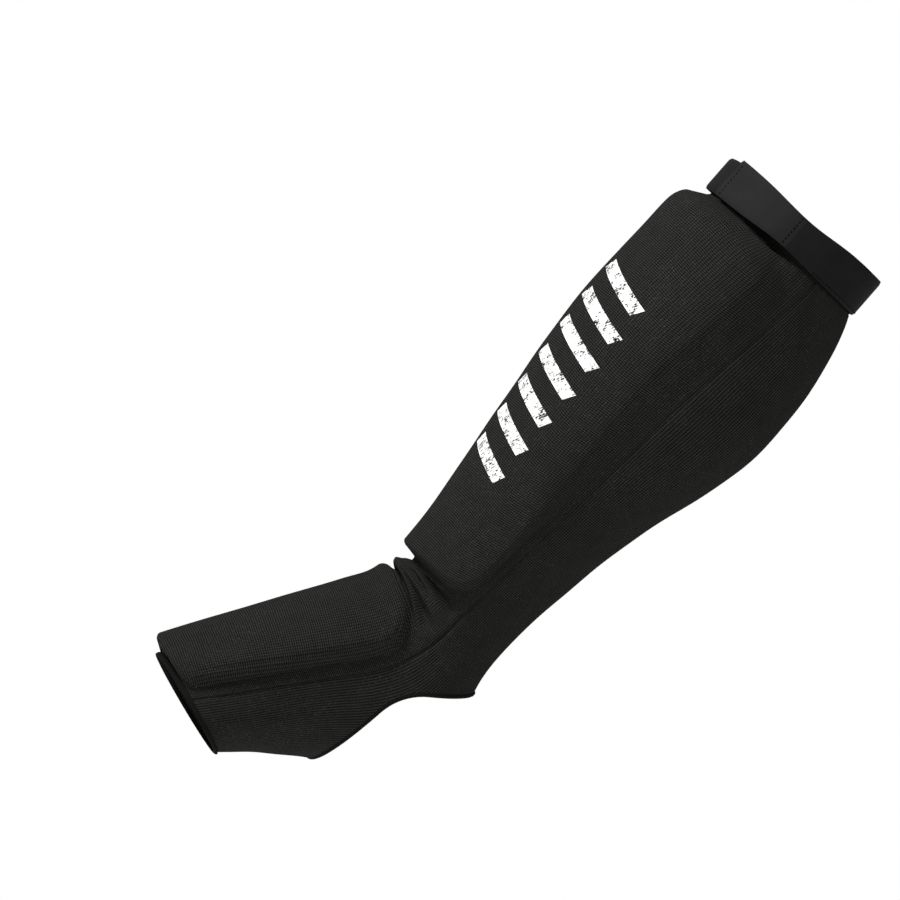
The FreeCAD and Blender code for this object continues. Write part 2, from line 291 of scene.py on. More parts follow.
@dataclass(frozen=True)
class SpongeFinish:
    """Closed-cell foam, brushed loop pile or moulded hooks: small grains all over."""

    name: str
    dark: Tuple[float, float, float]
    light: Tuple[float, float, float]
    grain: float
    depth: float
    roughness: float
    sheen: float

    def paint(self) -> bpy.types.Material:
        """Make the material."""
        paint = Paint(self.name)
        inputs = {"Vector": paint.place(), "Scale": 1 / self.grain}
        cells = paint.node("ShaderNodeTexVoronoi", {}, inputs, "Distance")
        worn = paint.noise(self.grain * 9, 3.0)
        # The grain's pits are painted darker than its rims as painted shade; worn adds random tone.
        share = (cells * 0.7 + worn * 0.5 - 0.1).above(0.0, 1.0)
        paint.link("Base Color", paint.blend(share, self.dark, self.light))
        paint.link("Roughness", worn * 0.15 + (self.roughness - 0.08))
        paint.bump(cells, self.depth)
        paint.settle(Sheen_Weight=self.sheen, Sheen_Roughness=0.5, Specular_IOR_Level=0.3)
        return paint.material


@dataclass(frozen=True)
class PrintFinish:
    """Screen print in white ink, cracked and rubbed off along the ribs."""

    name: str = "worn_print"
    ink: Tuple[float, float, float] = (0.80, 0.80, 0.79)
    stained: Tuple[float, float, float] = (0.42, 0.42, 0.41)
    rib: float = 1.6 * MM

    def paint(self) -> bpy.types.Material:
        """Make the material."""
        paint = Paint(self.name)
        across, along = paint.thread_lines()
        rubbed = paint.noise(7 * MM, 4.0)
        cracks = paint.noise(1.6 * MM, 4.0)
        ribs = across.wave(self.rib)
        left = rubbed * 0.75 + cracks * 0.85 + ribs * 0.10
        paint.link("Alpha", left.above(0.70, 0.80))
        paint.link("Base Color", paint.blend(left.above(0.72, 1.05), self.stained, self.ink))
        paint.link("Roughness", cracks * 0.2 + 0.6)
        paint.bump(cracks * 0.6 + along.wave(self.rib * 0.7) * 0.4, 0.1 * MM)
        paint.settle(Specular_IOR_Level=0.3)
        return paint.material


@dataclass(frozen=True)
class FloorFinish:
    """Plain white studio floor."""

    name: str = "studio_floor"
    light: Tuple[float, float, float] = (0.97, 0.97, 0.97)
    grey: Tuple[float, float, float] = (0.95, 0.95, 0.95)

    def paint(self) -> bpy.types.Material:
        """Make the material."""
        paint = Paint(self.name)
        share = paint.noise(0.3, 1.0)
        paint.link("Base Color", paint.blend(share, self.grey, self.light))
        paint.shader.inputs["Emission Color"].default_value = (1.0, 1.0, 1.0, 1.0)
        paint.settle(Roughness=0.9, Specular_IOR_Level=0.1, Emission_Strength=0.62)
        return paint.material


class Wardrobe:
    """Every finish of the guard, painted once."""

    def __init__(self) -> None:
        """Paint all the finishes."""
        self.pad_knit = KnitFinish("pad_knit", rib_share=0.34, course_share=0.66).paint()
        self.sleeve_knit = KnitFinish("sleeve_knit", rib_share=0.55, course_share=0.45).paint()
        self.slack_knit = KnitFinish("slack_knit", rib_share=0.55, course_share=0.45).paint()
        self.lining_knit = KnitFinish(
            "lining_knit", rib=1.0 * MM, course=0.9 * MM, depth=0.15 * MM, sheen=0.1
        ).paint()
        self.hem_knit = KnitFinish(
            "hem_knit", dark=(0.004, 0.004, 0.0038), light=(0.015, 0.015, 0.0140), rib=1.1 * MM
        ).paint()
        self.seam_knit = KnitFinish(
            "seam_thread", (0.004,) * 3, (0.014,) * 3, 0.7 * MM, 0.8 * MM, sheen=0.02
        ).paint()
        self.thread = KnitFinish(
            "sewing_thread", (0.001,) * 3, (0.006,) * 3, 0.5 * MM, 0.9 * MM, depth=0.1 * MM,
            sheen=0.05,
        ).paint()
        self.tab_elastic = ElasticFinish("tab_elastic").paint()
        self.band_elastic = ElasticFinish(
            "band_elastic", dark=(0.004, 0.004, 0.004), light=(0.0125, 0.0125, 0.0123)
        ).paint()
        self.foam = SpongeFinish(
            "foam", (0.03,) * 3, (0.07,) * 3, 0.8 * MM, 0.1 * MM, 0.85, 0.0
        ).paint()
        self.loop = SpongeFinish(
            "loop_pile", (0.008,) * 3, (0.03,) * 3, 0.6 * MM, 0.3 * MM, 0.95, 0.2
        ).paint()
        self.hook = SpongeFinish(
            "moulded_hooks", (0.010,) * 3, (0.028,) * 3, 1.1 * MM, 0.4 * MM, 0.5, 0.0
        ).paint()
        self.print = PrintFinish().paint()
        self.floor = FloorFinish().paint()


# ---------------------------------------------------------------- shapes


def smooth(value: Array) -> Array:
    """Ease from 0 to 1 as the value goes from 0 to 1."""
    held = np.clip(value, 0.0, 1.0)
    return held * held * (3 - 2 * held)


def crossing(side: Callable[[Array], Array], low: Array, high: Array) -> Array:
    """Where a function that starts above zero passes through it.

    Args:
        side: the function, for a whole array at once.
        low: where it is above zero.
        high: where it is below zero.

    Returns:
        The places, halved 40 times.
    """
    low, high = np.array(low, float), np.array(high, float)
    for _ in range(40):
        middle = (low + high) / 2
        above = side(middle) > 0
        low = np.where(above, middle, low)
        high = np.where(above, high, middle)
    return (low + high) / 2


def spread(low: float, high: float, step: float, dense: Sequence[Tuple[float, ...]]) -> Array:
    """Places from low to high, closer together in some stretches.

    Args:
        low: the first place.
        high: the last place.
        step: the usual distance.
        dense: stretches as start, end and how many times closer.

    Returns:
        The places.
    """
    fine = np.linspace(low, high, 4000)
    weight = np.ones_like(fine)
    for start, end, times in dense:
        weight = np.where((fine >= start) & (fine <= end), times, weight)
    count = np.concatenate([[0.0], np.cumsum((weight[1:] + weight[:-1]) / 2)])
    count *= (fine[1] - fine[0]) / step
    return np.interp(np.linspace(0, count[-1], int(round(count[-1])) + 1), count, fine)


@dataclass(frozen=True)
class Section:
    """One oval section of the leg, in millimetres: its front and back points and its width."""

    front_x: float
    front_z: float
    back_x: float
    back_z: float
    width: float


class LegForm:
    """The worn shape that every layer follows: a smooth tube through oval sections."""

    SECTIONS = (
        Section(52.0, -14.0, -52.0, -14.0, 104.0),
        Section(55.9, -27.0, -57.1, -27.0, 107.0),
        Section(57.2, -50.0, -63.2, -50.0, 111.0),
        Section(58.8, -88.0, -66.6, -88.0, 113.0),
        Section(57.7, -120.0, -65.0, -120.0, 111.0),
        Section(55.2, -150.0, -57.5, -150.0, 104.0),
        Section(51.7, -180.0, -47.7, -180.0, 94.0),
        Section(47.7, -212.0, -40.3, -212.0, 85.0),
        Section(44.1, -242.0, -35.1, -242.0, 77.0),
        Section(41.6, -270.0, -31.2, -270.0, 71.0),
        Section(41.2, -290.0, -30.0, -294.0, 68.5),
        Section(42.5, -302.0, -32.0, -317.0, 69.5),
        Section(45.0, -311.0, -38.0, -341.0, 71.0),
        Section(48.5, -317.5, -38.0, -366.0, 71.0),
        Section(53.5, -325.0, -22.0, -388.0, 71.0),
        Section(60.5, -335.0, 0.0, -404.0, 72.5),
        Section(70.0, -350.0, 17.0, -413.5, 75.0),
        Section(82.0, -369.0, 31.0, -422.5, 79.5),
        Section(95.0, -389.5, 43.0, -431.0, 84.5),
        Section(107.0, -408.5, 52.6, -439.0, 89.5),
        Section(118.5, -426.5, 61.0, -446.5, 94.0),
    )

    def __init__(self) -> None:
        """Fit natural cubic curves through the sections' sizes."""
        self.values = np.array([astuple(section) for section in self.SECTIONS]) * MM
        steps = np.diff(self.values, axis=0)
        front = np.hypot(steps[:, 0], steps[:, 1])
        back = np.hypot(steps[:, 2], steps[:, 3])
        self.knots = np.concatenate([[0.0], np.cumsum((front + back) / 2)])
        self.end = float(self.knots[-1])
        gaps = np.diff(self.knots)
        count = len(self.knots)
        table = np.eye(count)
        right = np.zeros_like(self.values)
        for row in range(1, count - 1):
            table[row, row - 1] = gaps[row - 1]
            table[row, row] = 2 * (gaps[row - 1] + gaps[row])
            table[row, row + 1] = gaps[row]
            slopes = steps[row] / gaps[row] - steps[row - 1] / gaps[row - 1]
            right[row] = 6 * slopes
        self.bends = np.linalg.solve(table, right)

    def sizes(self, station: Array) -> List[Array]:
        """The section's five sizes at stations along the leg."""
        station = np.clip(station, 0.0, self.end)
        index = np.clip(np.searchsorted(self.knots, station) - 1, 0, len(self.knots) - 2)
        gap = self.knots[index + 1] - self.knots[index]
        far = (station - self.knots[index]) / gap
        near = 1 - far
        curve = (gap**2 / 6)[..., None] * (
            (near**3 - near)[..., None] * self.bends[index]
            + (far**3 - far)[..., None] * self.bends[index + 1]
        )
        level = near[..., None] * self.values[index] + far[..., None] * self.values[index + 1]
        return list(np.moveaxis(level + curve, -1, 0))

    def point(self, station: Array, turn: Array, offset: Array) -> Array:
        """Points on a layer of the guard.

        Args:
            station: distances along the leg from the top section.
            turn: angles round the leg from its front, in radians.
            offset: distances off the leg.

        Returns:
            The points, the last axis being x, y and z.
        """
        station, turn, offset = np.broadcast_arrays(station, turn, offset)
        front_x, front_z, back_x, back_z, width = self.sizes(station)
        reach_x, reach_z = (front_x - back_x) / 2, (front_z - back_z) / 2
        grow = 1 + offset / np.hypot(reach_x, reach_z)
        ahead = grow * np.cos(turn)
        return np.stack(
            [
                (front_x + back_x) / 2 + reach_x * ahead,
                (width / 2 + offset) * np.sin(turn),
                (front_z + back_z) / 2 + reach_z * ahead,
            ],
            axis=-1,
        )

    def locate(self, x: Array, z: Array, offset: float) -> Tuple[Array, Array]:
        """The station and the cosine of the turn of points seen from the side."""

        def side(station: Array) -> Array:
            front_x, front_z, back_x, back_z, _ = self.sizes(station)
            lean_x, lean_z = front_x - back_x, front_z - back_z
            return (x - (front_x + back_x) / 2) * lean_z - (z - (front_z + back_z) / 2) * lean_x

        station = crossing(side, np.zeros_like(x), np.full_like(x, self.end))
        front_x, front_z, back_x, back_z, _ = self.sizes(station)
        reach_x, reach_z = (front_x - back_x) / 2, (front_z - back_z) / 2
        length = np.hypot(reach_x, reach_z)
        ahead = (x - (front_x + back_x) / 2) * reach_x + (z - (front_z + back_z) / 2) * reach_z
        return station, ahead / (length * (length + offset))


@dataclass(frozen=True)
class SideLine:
    """A line seen from the side, as x for each z, in millimetres, its bends rounded."""

    corners: Tuple[Tuple[float, float], ...]
    rounding: float = 30.0

    def samples(self) -> Tuple[Array, Array]:
        """The rounded line's z and x in metres, z rising."""
        points = [np.array(self.corners[0])]
        for before, corner, after in zip(self.corners, self.corners[1:], self.corners[2:]):
            before, corner, after = map(np.array, (before, corner, after))
            back = before - corner
            ahead = after - corner
            start = corner + back / np.linalg.norm(back) * self.rounding
            end = corner + ahead / np.linalg.norm(ahead) * self.rounding
            for share in np.linspace(0, 1, 12):
                curve = (1 - share) ** 2 * start + 2 * share * (1 - share) * corner
                points.append(curve + share**2 * end)
        points.append(np.array(self.corners[-1]))
        line = np.array(points) * MM
        order = np.argsort(line[:, 1])
        return line[order, 1], line[order, 0]

    def ahead(self, points: Array) -> Array:
        """How far points are in front of the line, along x."""
        levels, places = self.samples()
        return points[..., 0] - np.interp(points[..., 2], levels, places)


SEAM_LINE = SideLine(((-17.5, -8.0), (-2.0, -109.0), (10.0, -332.0), (114.0, -449.2)), 33.0)
TOE_HEM = 3.0 * MM
END_WALL_AREA = 3e-6
SHARP_DEGREES = 55


class Sleeve:
    """The sleeve's layout on the leg form: where the side seams run and where the knit is cut."""

    def __init__(self) -> None:
        """Find the side seams at every station."""
        self.form = LegForm()
        self.stations = np.linspace(0, self.form.end, 500)
        self.seams = crossing(
            lambda turn: SEAM_LINE.ahead(self.form.point(self.stations, turn, 2.2 * MM)),
            np.full(500, 0.1),
            np.full(500, math.pi - 0.1),
        )
        self.bottom = self.form.end - TOE_HEM

    def seam_turn(self, station: Array) -> Array:
        """The side seam's angle from the front, in radians."""
        return np.interp(station, self.stations, self.seams)

    def front_turn(self, station: Array, share: Array) -> Array:
        """Angles of the front half: the share goes from -1 to 1 between the seams."""
        return self.seam_turn(station) * share

    def back_turn(self, station: Array, share: Array) -> Array:
        """Angles of the back half: the share goes from -1 to 1 between the seams."""
        seam = self.seam_turn(station)
        return math.pi + (math.pi - seam) * share

    def cut(self, share: Array, line: Callable[[Array], Array], low: float, high: float) -> Array:
        """The station where each front column meets a cutting line seen from the side."""
        return crossing(
            lambda station: line(
                self.form.point(station, self.front_turn(station, share), 2.0 * MM)
            ),
            np.full_like(share, low),
            np.full_like(share, high),
        )

    def layer(
        self,
        name: str,
        finish: bpy.types.Material,
        place: Tuple[Array, Array],
        walls: Tuple[Array, Array],
        base: Union[Array, float],
        closed: bool = False,
    ) -> Tuple[bpy.types.Object, Array]:
        """Make a piece of cloth or foam that lies on the leg form.

        Args:
            name: the piece's name.
            finish: its material.
            place: the stations and turns of its grid.
            walls: how far its outer and inner faces stand off the leg.
            base: the offset at which its flat size is measured.
            closed: joins the last column to the first.

        Returns:
            The piece, and the points of its outer face.
        """
        outer, inner, flat = (self.form.point(*place, off) for off in (*walls, base))
        middle = outer.shape[1] // 2
        return shell(name, finish, outer, inner, lengths(flat, middle), closed), outer


def below_shin(points: Array) -> Array:
    """How far points are above the shin pad's lower edge line."""
    x, z = points[..., 0] / MM, points[..., 2] / MM
    line = np.where(x > 20, -288.5, -288.5 + (x - 20) * 0.372)
    return z - line


FOOT_EDGE = ((90.0, -289.5), (47.0, -296.0), (22.0, -316.5), (10.0, -345.0), (-30.0, -395.0))


def above_foot(points: Array) -> Array:
    """How far points are above the foot part's upper edge line."""
    levels = [corner[0] for corner in reversed(FOOT_EDGE)]
    heights = [corner[1] for corner in reversed(FOOT_EDGE)]
    return points[..., 2] / MM - np.interp(points[..., 0] / MM, levels, heights)


def enter(
    piece: bpy.types.Object, nodes: Sequence[str], body: Optional[Body] = None
) -> bpy.types.Object:
    """Hide the CAD nodes that a piece replaces, and put it on its body if it has one.

    Args:
        piece: the piece.
        nodes: the CAD nodes that it replaces.
        body: the body that it rides on, if it is on one only.

    Returns:
        The piece.
    """
    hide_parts(*nodes)
    if body:
        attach(piece, body.value)
    return piece


def new_object(name: str, mesh: bpy.types.Mesh, finish: bpy.types.Material) -> bpy.types.Object:
    """Put a mesh into the scene with its finish and smooth shading."""
    made = bpy.data.objects.new(name, mesh)
    bpy.context.scene.collection.objects.link(made)
    mesh.materials.append(finish)
    mesh.shade_smooth()
    mesh.set_sharp_from_angle(angle=math.radians(SHARP_DEGREES))
    mesh.update()
    return made


def shell(
    name: str,
    finish: bpy.types.Material,
    outer: Array,
    inner: Array,
    flat: Array,
    closed: bool = False,
) -> bpy.types.Object:
    """Make a closed piece of cloth from the points of its outer and inner faces.

    Args:
        name: the piece's name.
        finish: its material.
        outer: the outer face's points, rows from the top, columns towards +Y at the front.
        inner: the inner face's points.
        flat: the distances across and along the cloth at those points.
        closed: joins the last column to the first.

    Returns:
        The piece.
    """
    rows, columns = outer.shape[:2]
    bm = bmesh.new()
    bmesh.ops.create_grid(bm, x_segments=columns - 1, y_segments=rows - 1, size=1.0)
    raised = bmesh.ops.extrude_face_region(bm, geom=bm.faces[:], use_keep_orig=True)
    for item in raised["geom"]:
        if isinstance(item, bmesh.types.BMVert):
            item.co.z = 1.0
    bmesh.ops.recalc_face_normals(bm, faces=bm.faces[:])
    mesh = bpy.data.meshes.new(name)
    bm.to_mesh(mesh)
    bm.free()
    places = np.empty(len(mesh.vertices) * 3)
    mesh.vertices.foreach_get("co", places)
    places = places.reshape(-1, 3)
    column = np.rint((places[:, 0] + 1) / 2 * (columns - 1)).astype(int)
    row = rows - 1 - np.rint((places[:, 1] + 1) / 2 * (rows - 1)).astype(int)
    out = places[:, 2] > 0.5
    moved = np.where(out[:, None], outer[row, column], inner[row, column])
    mesh.vertices.foreach_set("co", moved.ravel())
    corners = np.empty(len(mesh.loops), int)
    mesh.loops.foreach_get("vertex_index", corners)
    layer = mesh.uv_layers.new(name="Knit")
    layer.data.foreach_set("uv", flat[row, column][corners].astype(np.float32).ravel())
    if closed:
        bm = bmesh.new()
        bm.from_mesh(mesh)
        doomed = [face for face in bm.faces if is_end_wall(face)]
        bmesh.ops.delete(bm, geom=doomed, context="FACES")
        bmesh.ops.remove_doubles(bm, verts=bm.verts[:], dist=1e-6)
        bm.to_mesh(mesh)
        bm.free()
    return new_object(name, mesh, finish)


def is_end_wall(face: bmesh.types.BMFace) -> bool:
    """Whether a face closes an end of a ring that starts and ends at y = 0."""
    return (
        all(len(edge.link_faces) == 2 for edge in face.edges)
        and abs(face.normal.y) > 0.9
        and face.calc_area() < END_WALL_AREA
        and abs(face.calc_center_median().y) < 1e-5
    )


def lengths(base: Array, middle: int) -> Array:
    """The distances across and along a cloth whose ribs keep their number all the way down.

    Args:
        base: the points of the cloth before any padding.
        middle: the column from which distances across are counted.

    Returns:
        The two distances at every point.
    """
    sideways = np.linalg.norm(np.diff(base, axis=1), axis=-1)
    across = np.concatenate([np.zeros((len(base), 1)), np.cumsum(sideways, axis=1)], axis=1)
    across -= across[:, middle : middle + 1]
    span = across[:, -1:] - across[:, :1]
    across = across / span * float(np.median(span))
    down = np.linalg.norm(np.diff(base, axis=0), axis=-1)
    along = np.concatenate([np.zeros((1, base.shape[1])), np.cumsum(down, axis=0)])
    return np.stack([across, along], axis=-1)


def tube(
    name: str,
    finish: bpy.types.Material,
    line: Array,
    outward: Array,
    radii: Tuple[float, float],
    closed: bool,
) -> bpy.types.Object:
    """Make a cord or rolled hem along a line.

    Args:
        name: the piece's name.
        finish: its material.
        line: the points along its middle.
        outward: the direction away from the leg at those points.
        radii: half its thickness outwards and half its width sideways.
        closed: joins the ends.

    Returns:
        The piece.
    """
    around = 14
    if closed:
        before, after = np.roll(line, 1, axis=0), np.roll(line, -1, axis=0)
    else:
        before = np.concatenate([line[:1], line[:-1]])
        after = np.concatenate([line[1:], line[-1:]])
    ahead = after - before
    ahead /= np.linalg.norm(ahead, axis=1, keepdims=True)
    out = outward - (outward * ahead).sum(axis=1, keepdims=True) * ahead
    out /= np.linalg.norm(out, axis=1, keepdims=True)
    side = np.cross(ahead, out)
    bm = bmesh.new()
    ring = bmesh.ops.create_circle(bm, segments=around, radius=1.0, cap_ends=not closed)["verts"]
    rows = [list(ring)]
    edges = list(bm.edges)
    for _ in range(len(line) - 1):
        grown = bmesh.ops.extrude_edge_only(bm, edges=edges)["geom"]
        edges = [item for item in grown if isinstance(item, bmesh.types.BMEdge)]
        fresh = [item for item in grown if isinstance(item, bmesh.types.BMVert)]
        ordered = [None] * around
        for vert in fresh:
            nearest = min(range(around), key=lambda n: (rows[-1][n].co - vert.co).length)
            ordered[nearest] = vert
        rows.append(ordered)
        for number, vert in enumerate(ordered):
            vert.co = rows[0][number].co
    turns = [math.atan2(vert.co.y, vert.co.x) for vert in rows[0]]
    for place, forward, sideways, row in zip(line, out, side, rows):
        for turn, vert in zip(turns, row):
            spot = place + forward * radii[0] * math.cos(turn)
            vert.co = Vector(spot + sideways * radii[1] * math.sin(turn))
    if closed:
        bmesh.ops.bridge_loops(bm, edges=[edge for edge in bm.edges if edge.is_boundary])
    else:
        bmesh.ops.contextual_create(bm, geom=edges)
    bmesh.ops.recalc_face_normals(bm, faces=bm.faces[:])
    along = np.concatenate([[0.0], np.cumsum(np.linalg.norm(np.diff(line, axis=0), axis=1))])
    layer = bm.loops.layers.uv.new("Knit")
    where = {
        vert: (turn / (2 * math.pi) * 6 * radii[1], far)
        for far, row in zip(along, rows)
        for turn, vert in zip(turns, row)
    }
    for face in bm.faces:
        for loop in face.loops:
            loop[layer].uv = where[loop.vert]
    mesh = bpy.data.meshes.new(name)
    bm.to_mesh(mesh)
    bm.free()
    return new_object(name, mesh, finish)


def ripple(station: Array, turn: Array, seed: float) -> Array:
    """Gentle unevenness of worn cloth, from about -1 to 1."""
    return (
        np.sin(station * 74 + 2.1 * turn + seed) * 0.5
        + np.sin(station * 143 - 3.3 * turn + 1.7 * seed) * 0.3
        + np.sin(5.2 * turn + station * 31 + 2.9 * seed) * 0.2
    )


def strap_dip(turn: Array) -> Array:
    """How far the sleeve's edge sags under the free strap, in metres."""
    return 3.2 * MM * np.exp(-(((np.degrees(turn) - 68.0) / 19.0) ** 2))


def gathers(station: Array, turn: Array) -> Array:
    """The small puckers where the sleeve is drawn in by the cuff, in metres."""
    return 0.35 * MM * np.sin(turn * 44.0) * np.exp(-station / (10 * MM))


@dataclass(frozen=True)
class PadEdge:
    """A straight pad edge seen from the side: a point on it and the way into the pad."""

    x: float
    z: float
    inward: Tuple[float, float]
    softness: float = 1.0

    def depth(self, points: Array) -> Array:
        """How far points are inside the edge, in metres, less where the edge is soft."""
        length = math.hypot(*self.inward) * self.softness
        across = (points[..., 0] - self.x * MM) * self.inward[0]
        return (across + (points[..., 2] - self.z * MM) * self.inward[1]) / length


def rounded_min(first: Array, second: Array, radius: float) -> Array:
    """The depth inside two edges whose corner is rounded."""
    near = np.hypot(np.maximum(radius - first, 0), np.maximum(radius - second, 0))
    return np.where((first < radius) | (second < radius), radius - near, np.minimum(first, second))


@dataclass(frozen=True)
class Pad:
    """A foam pad's outline and edge profile."""

    side: SideLine
    side_lean: float
    side_softness: Tuple[float, float]
    end: PadEdge
    top: PadEdge
    corner: float
    rise: float = 11.3 * MM
    wall: float = 1.9 * MM
    rounding: float = 4.6 * MM

    def depth(self, points: Array) -> Array:
        """How far points are inside the pad's outline, in metres."""
        low, high = self.side_softness
        softness = low + (high - low) * smooth((points[..., 2] + 0.268) / 0.15) ** 1.4
        side = self.side.ahead(points) * self.side_lean / softness
        depth = rounded_min(side, self.end.depth(points), self.corner)
        return rounded_min(depth, self.top.depth(points), 8.0 * MM)

    def height(self, depth: Array, rise: float) -> Array:
        """How far the pad stands up at a depth: a short wall, then a rounded edge."""
        rounding = min(self.rounding, rise)
        wall = np.clip(depth / self.wall, 0.0, 1.0) * (rise - rounding)
        bend = np.clip((depth - self.wall) / rounding, 0.0, 1.0)
        return wall + np.sqrt(1 - (1 - bend) ** 2) * rounding * (depth > self.wall)


SHIN_PAD = Pad(
    side=SideLine(((-9.8, -14.8), (2.4, -109.0), (14.3, -286.7)), 20.0),
    side_lean=0.997,
    side_softness=(0.62, 9.0),
    end=PadEdge(11.3, -284.9, (0.0, 1.0), 0.62),
    top=PadEdge(0.0, -14.8, (0.0, -1.0), 2.6),
    corner=24.0 * MM,
)
INSTEP_PAD = Pad(
    side=SideLine(((-37.0, -263.0), (14.0, -321.5), (104.8, -427.7), (150.0, -480.7)), 1.0),
    side_lean=0.754,
    side_softness=(1.5, 1.5),
    end=PadEdge(14.0, -321.5, (0.588, -0.809)),
    top=PadEdge(104.8, -427.7, (-0.3312, 0.9435), 0.72),
    corner=22.0 * MM,
)


class Part(Enum):
    """The two padded parts of the guard."""

    SHIN = "shin"
    INSTEP = "instep"


@dataclass
class PaddedFront:
    """A padded front part: knit cover, foam and lining between the side seams."""

    sleeve: Sleeve
    wardrobe: Wardrobe
    part: Part
    pad: Pad
    body: Body
    flat: float = 2.5 * MM
    cloth: float = 1.2 * MM
    seam_dip: float = 0.9 * MM
    uneven: float = 0.3 * MM
    base: float = 6.0 * MM
    pleats: Tuple[float, ...] = (0.6 * MM, 3.2 * MM)

    def grid(self, step: float) -> Tuple[Array, Array]:
        """Stations and turns of the part's grid.

        Args:
            step: the usual distance between rows, in metres.

        Returns:
            The two arrays, rows from the top and columns from the right seam to the left.
        """
        share = spread(-1.0, 1.0, step / 0.075, [(-1.0, -0.70, 1.9), (0.70, 1.0, 1.9)])
        if self.part is Part.SHIN:
            top = strap_dip(self.sleeve.front_turn(np.zeros_like(share), share))
            low = self.sleeve.cut(share, below_shin, 0.2, 0.36)
            rows = spread(0.0, 1.0, step / 0.275, [(0.0, 0.07, 1.4), (0.86, 1.0, 2.4)])
        else:
            top = self.sleeve.cut(share, above_foot, 0.25, 0.42) - 1.0 * MM
            low = np.full_like(share, self.sleeve.bottom)
            rows = spread(0.0, 1.0, step / 0.150, [(0.0, 0.30, 1.9), (0.86, 1.0, 1.6)])
        station = top[None, :] + rows[:, None] * (low - top)[None, :]
        return station, self.sleeve.front_turn(station, share[None, :])

    def surface(self, station: Array, turn: Array) -> Array:
        """How far the cover's outer face stands off the leg."""
        depth = self.pad.depth(self.sleeve.form.point(station, turn, self.base))
        rise = self.pad.height(depth, self.pad.rise)
        edge = (1 - np.abs(turn) / self.sleeve.seam_turn(station)) * 60 * MM
        groove = np.exp(-((edge / (0.9 * MM)) ** 2)) * self.seam_dip
        tuck = (1 - smooth(station / (7 * MM))) * 1.1 * MM
        wave = ripple(station, turn, 0.0 if self.part is Part.SHIN else 4.0) * self.uneven
        pleats = np.zeros_like(depth)
        if self.part is Part.INSTEP:
            fade = smooth((station - 0.30) / 0.03) * smooth((self.sleeve.bottom - station) / 0.02)
            for level in self.pleats:
                pleats += np.exp(-(((depth - level) / (0.50 * MM)) ** 2)) * 1.0 * MM * fade
        return self.flat + rise + wave - groove - tuck - pleats + gathers(station, turn)

    def cover(self) -> bpy.types.Object:
        """Make the knit cover over the pad."""
        place = self.grid(2.0 * MM if self.part is Part.SHIN else 1.5 * MM)
        offset = self.surface(*place)
        name, walls = f"{self.part.value}_cover", (offset, offset - self.cloth)
        piece, _ = self.sleeve.layer(name, self.wardrobe.pad_knit, place, walls, self.base)
        return enter(piece, [f"{self.part.value}_panel"], self.body)

    def foam(self) -> bpy.types.Object:
        """Make the foam pad under the cover."""
        place = self.grid(4.5 * MM)
        depth = self.pad.depth(self.sleeve.form.point(*place, self.base)) - 1.6 * MM
        rise = np.minimum(self.pad.height(depth, self.pad.rise - 0.6 * MM), 10.3 * MM)
        outer = np.minimum(1.2 * MM + rise, self.surface(*place) - 0.9 * MM)
        walls = outer, np.minimum(outer - 0.1 * MM, 1.1 * MM)
        name = f"{self.part.value}_foam_pad"
        piece, _ = self.sleeve.layer(name, self.wardrobe.foam, place, walls, walls[1])
        return enter(piece, [f"{self.part.value}_foam"], self.body)

    def lining(self) -> bpy.types.Object:
        """Make the thin knit lining against the leg."""
        name, walls = f"{self.part.value}_lining_knit", (1.0 * MM, 0.1 * MM)
        place, finish = self.grid(5.0 * MM), self.wardrobe.lining_knit
        piece, outer = self.sleeve.layer(name, finish, place, walls, walls[0])
        return enter(piece, [f"{self.part.value}_lining"], self.body)

    def build(self) -> List[bpy.types.Object]:
        """Make the three pieces."""
        return [self.cover(), self.foam(), self.lining()]


@dataclass
class ShinPrint:
    """The column of slanted bars printed on the shin cover."""

    front: PaddedFront
    wardrobe: Wardrobe
    middle: float = 58.0
    lean: float = 1.0
    half: float = 11.0
    stroke: float = 8.5
    pitch: float = 20.8
    first: float = -217.0
    count: int = 7
    slant: float = 30.0
    film: float = 0.16 * MM
    backing: float = 0.2 * MM
    curve: float = 55.0 * MM

    def bar(self, number: int) -> Tuple[Array, Array]:
        """One bar's outer and inner points."""
        share, up = np.meshgrid(np.linspace(0, 1, 40), np.linspace(self.stroke, 0, 14) * MM)
        tilt = math.radians(self.slant)
        middle = self.middle + self.lean * number
        x = np.array([middle - self.half, middle + self.half]) * MM
        z = (self.first + self.pitch * number) * MM
        form = self.front.sleeve.form
        station, ahead = form.locate(x, np.full(2, z), 13.8 * MM)
        rear, fore = np.arccos(np.clip(ahead, -1, 1))
        turn = rear + (fore - rear) * share + up * math.sin(tilt) / self.curve
        rise_along = 2 * self.half * MM * math.tan(tilt)
        station = station[0] - (share - 0.5) * rise_along - up * math.cos(tilt)
        rise = self.front.surface(station, turn)
        offsets = (rise + self.film, rise - self.backing)
        return tuple(form.point(station, turn, off)[:, ::-1] for off in offsets)

    def build(self) -> List[bpy.types.Object]:
        """Print the bars and join them into one piece."""
        bars = []
        for number in range(self.count):
            outer, inner = self.bar(number)
            flat = lengths(outer[:, ::-1], 20) + np.array([0.01 * number, 0.013 * number])
            bars.append(shell(f"bar_{number}", self.wardrobe.print, outer, inner, flat))
        with bpy.context.temp_override(active_object=bars[0], selected_editable_objects=bars):
            bpy.ops.object.join()
        piece = bars[0]
        piece.name = "worn_shin_print"
        return [enter(piece, ["shin_print"], Body.SHIN)]


def bend_at_ankle(piece: bpy.types.Object) -> None:
    """Bake a piece's placement into its mesh."""
    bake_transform(piece)


